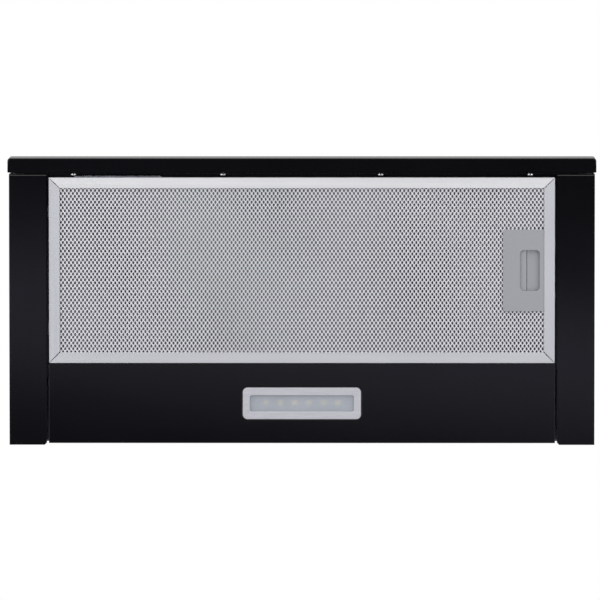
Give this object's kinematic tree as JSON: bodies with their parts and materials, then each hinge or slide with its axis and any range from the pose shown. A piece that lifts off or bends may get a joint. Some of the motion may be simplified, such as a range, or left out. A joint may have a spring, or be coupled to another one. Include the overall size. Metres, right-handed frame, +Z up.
{
  "type": "built-in pull-out cooker hood",
  "caption": "Pull-out cooker hood for a wall cabinet: a drawer with a front panel and a drop-down metal grease filter, a strip lamp, and a fan box with a round duct collar.",
  "frame": {"origin": "on the plane of the underside, below the middle of the hood's outline", "axes": "+Z up, +X to the cook's right, -Y towards the cook, out of the cabinet"},
  "size_m": [0.598, 0.292, 0.206],
  "materials": {
    "black_paint": "satin black powder coat",
    "zinc_sheet": "plain galvanised sheet",
    "bright_steel": "bright plated steel",
    "aluminium": "bare aluminium",
    "grey_plastic": "mid grey",
    "silver_plastic": "silver-painted plastic",
    "black_plastic": "black moulded plastic",
    "white_plastic": "white moulded plastic",
    "frosted_lens": "frosted clear plastic",
    "led_board": "white circuit board"
  },
  "bodies": {
    "hood": {"side_channel_left": "black_paint", "side_channel_right": "black_paint", "deck_plate": "zinc_sheet", "back_plate": "black_paint", "lamp_bezel": "silver_plastic", "lamp_lens": "frosted_lens", "lamp_tray": "white_plastic", "led_board": "led_board", "motor_box_walls": "zinc_sheet", "motor_box_top": "zinc_sheet", "cabinet_bracket_left": "zinc_sheet", "cabinet_bracket_right": "zinc_sheet", "bracket_screw_left": "bright_steel", "bracket_screw_right": "bright_steel", "inner_filter_frame": "aluminium", "inner_filter_mesh": "aluminium", "fan_scroll_left": "black_plastic", "fan_scroll_right": "black_plastic", "motor": "zinc_sheet", "motor_bracket": "zinc_sheet", "outlet_collar": "black_plastic", "flap_pin": "bright_steel", "terminal_box": "white_plastic", "led_driver": "white_plastic", "cable_gland": "black_plastic", "drawer_switch": "black_plastic", "slide_outer_rail_left": "zinc_sheet", "slide_outer_rail_right": "zinc_sheet"},
    "middle_rail_left": {"slide_middle_rail_left": "zinc_sheet"},
    "middle_rail_right": {"slide_middle_rail_right": "zinc_sheet"},
    "drawer": {"front_panel": "black_paint", "drawer_front_rail": "black_paint", "drawer_back_rail": "zinc_sheet", "drawer_side_left": "zinc_sheet", "drawer_side_right": "zinc_sheet", "front_panel_screw_1": "bright_steel", "front_panel_screw_2": "bright_steel", "front_panel_screw_3": "bright_steel", "front_panel_screw_4": "bright_steel", "filter_clip": "bright_steel", "control_box": "black_plastic", "slide_inner_rail_left": "zinc_sheet", "slide_inner_rail_right": "zinc_sheet"},
    "filter": {"filter_frame_front": "aluminium", "filter_frame_right": "aluminium", "filter_frame_back": "aluminium", "filter_frame_left": "aluminium", "filter_mesh": "aluminium", "filter_core": "aluminium", "filter_handle": "grey_plastic", "latch_spring": "bright_steel"},
    "latch": {"filter_latch": "grey_plastic"},
    "rotor": {"impeller": "black_plastic", "motor_shaft": "bright_steel"},
    "flap_front": {"flap_front": "black_plastic"},
    "flap_back": {"flap_back": "black_plastic"},
    "speed_knob": {"speed_slider": "silver_plastic"},
    "light_knob": {"light_slider": "silver_plastic"},
    "switch_plunger": {"drawer_switch_plunger": "white_plastic"}
  },
  "joints": [
    {"name": "drawer_slide", "type": "slide", "parent": "hood", "child": "drawer", "axis": [0, -1, 0], "range_m": [0, 0.16]},
    {"name": "middle_rail_slide_left", "type": "slide", "parent": "hood", "child": "middle_rail_left", "axis": [0, -1, 0], "range_m": [0, 0.08]},
    {"name": "middle_rail_slide_right", "type": "slide", "parent": "hood", "child": "middle_rail_right", "axis": [0, -1, 0], "range_m": [0, 0.08]},
    {"name": "filter_swing", "type": "hinge", "parent": "drawer", "child": "filter", "pos_m": [-0.257, -0.03175, 0.0015], "axis": [0, 1, 0], "range_deg": [0, 75]},
    {"name": "latch_pull", "type": "slide", "parent": "filter", "child": "latch", "axis": [-1, 0, 0], "range_m": [0, 0.004], "stiffness_N_per_m": 300, "deforming": ["latch_spring"]},
    {"name": "fan_spin", "type": "hinge", "parent": "hood", "child": "rotor", "pos_m": [0, 0.01495, 0.11003], "axis": [1, 0, 0], "continuous": true},
    {"name": "flap_front_swing", "type": "hinge", "parent": "hood", "child": "flap_front", "pos_m": [0, 0.03015, 0.1835], "axis": [-1, 0, 0], "range_deg": [0, 75]},
    {"name": "flap_back_swing", "type": "hinge", "parent": "hood", "child": "flap_back", "pos_m": [0, 0.03015, 0.1835], "axis": [1, 0, 0], "range_deg": [0, 75]},
    {"name": "speed_slide", "type": "slide", "parent": "drawer", "child": "speed_knob", "axis": [1, 0, 0], "range_m": [0, 0.016]},
    {"name": "light_slide", "type": "slide", "parent": "drawer", "child": "light_knob", "axis": [1, 0, 0], "range_m": [0, 0.008]},
    {"name": "switch_press", "type": "slide", "parent": "hood", "child": "switch_plunger", "axis": [0, 1, 0], "range_m": [0, 0.0015], "stiffness_N_per_m": 150}
  ],
  "couplings": [
    {"joint": "middle_rail_slide_left", "follows": "drawer_slide", "ratio": 0.5},
    {"joint": "middle_rail_slide_right", "follows": "drawer_slide", "ratio": 0.5}
  ]
}
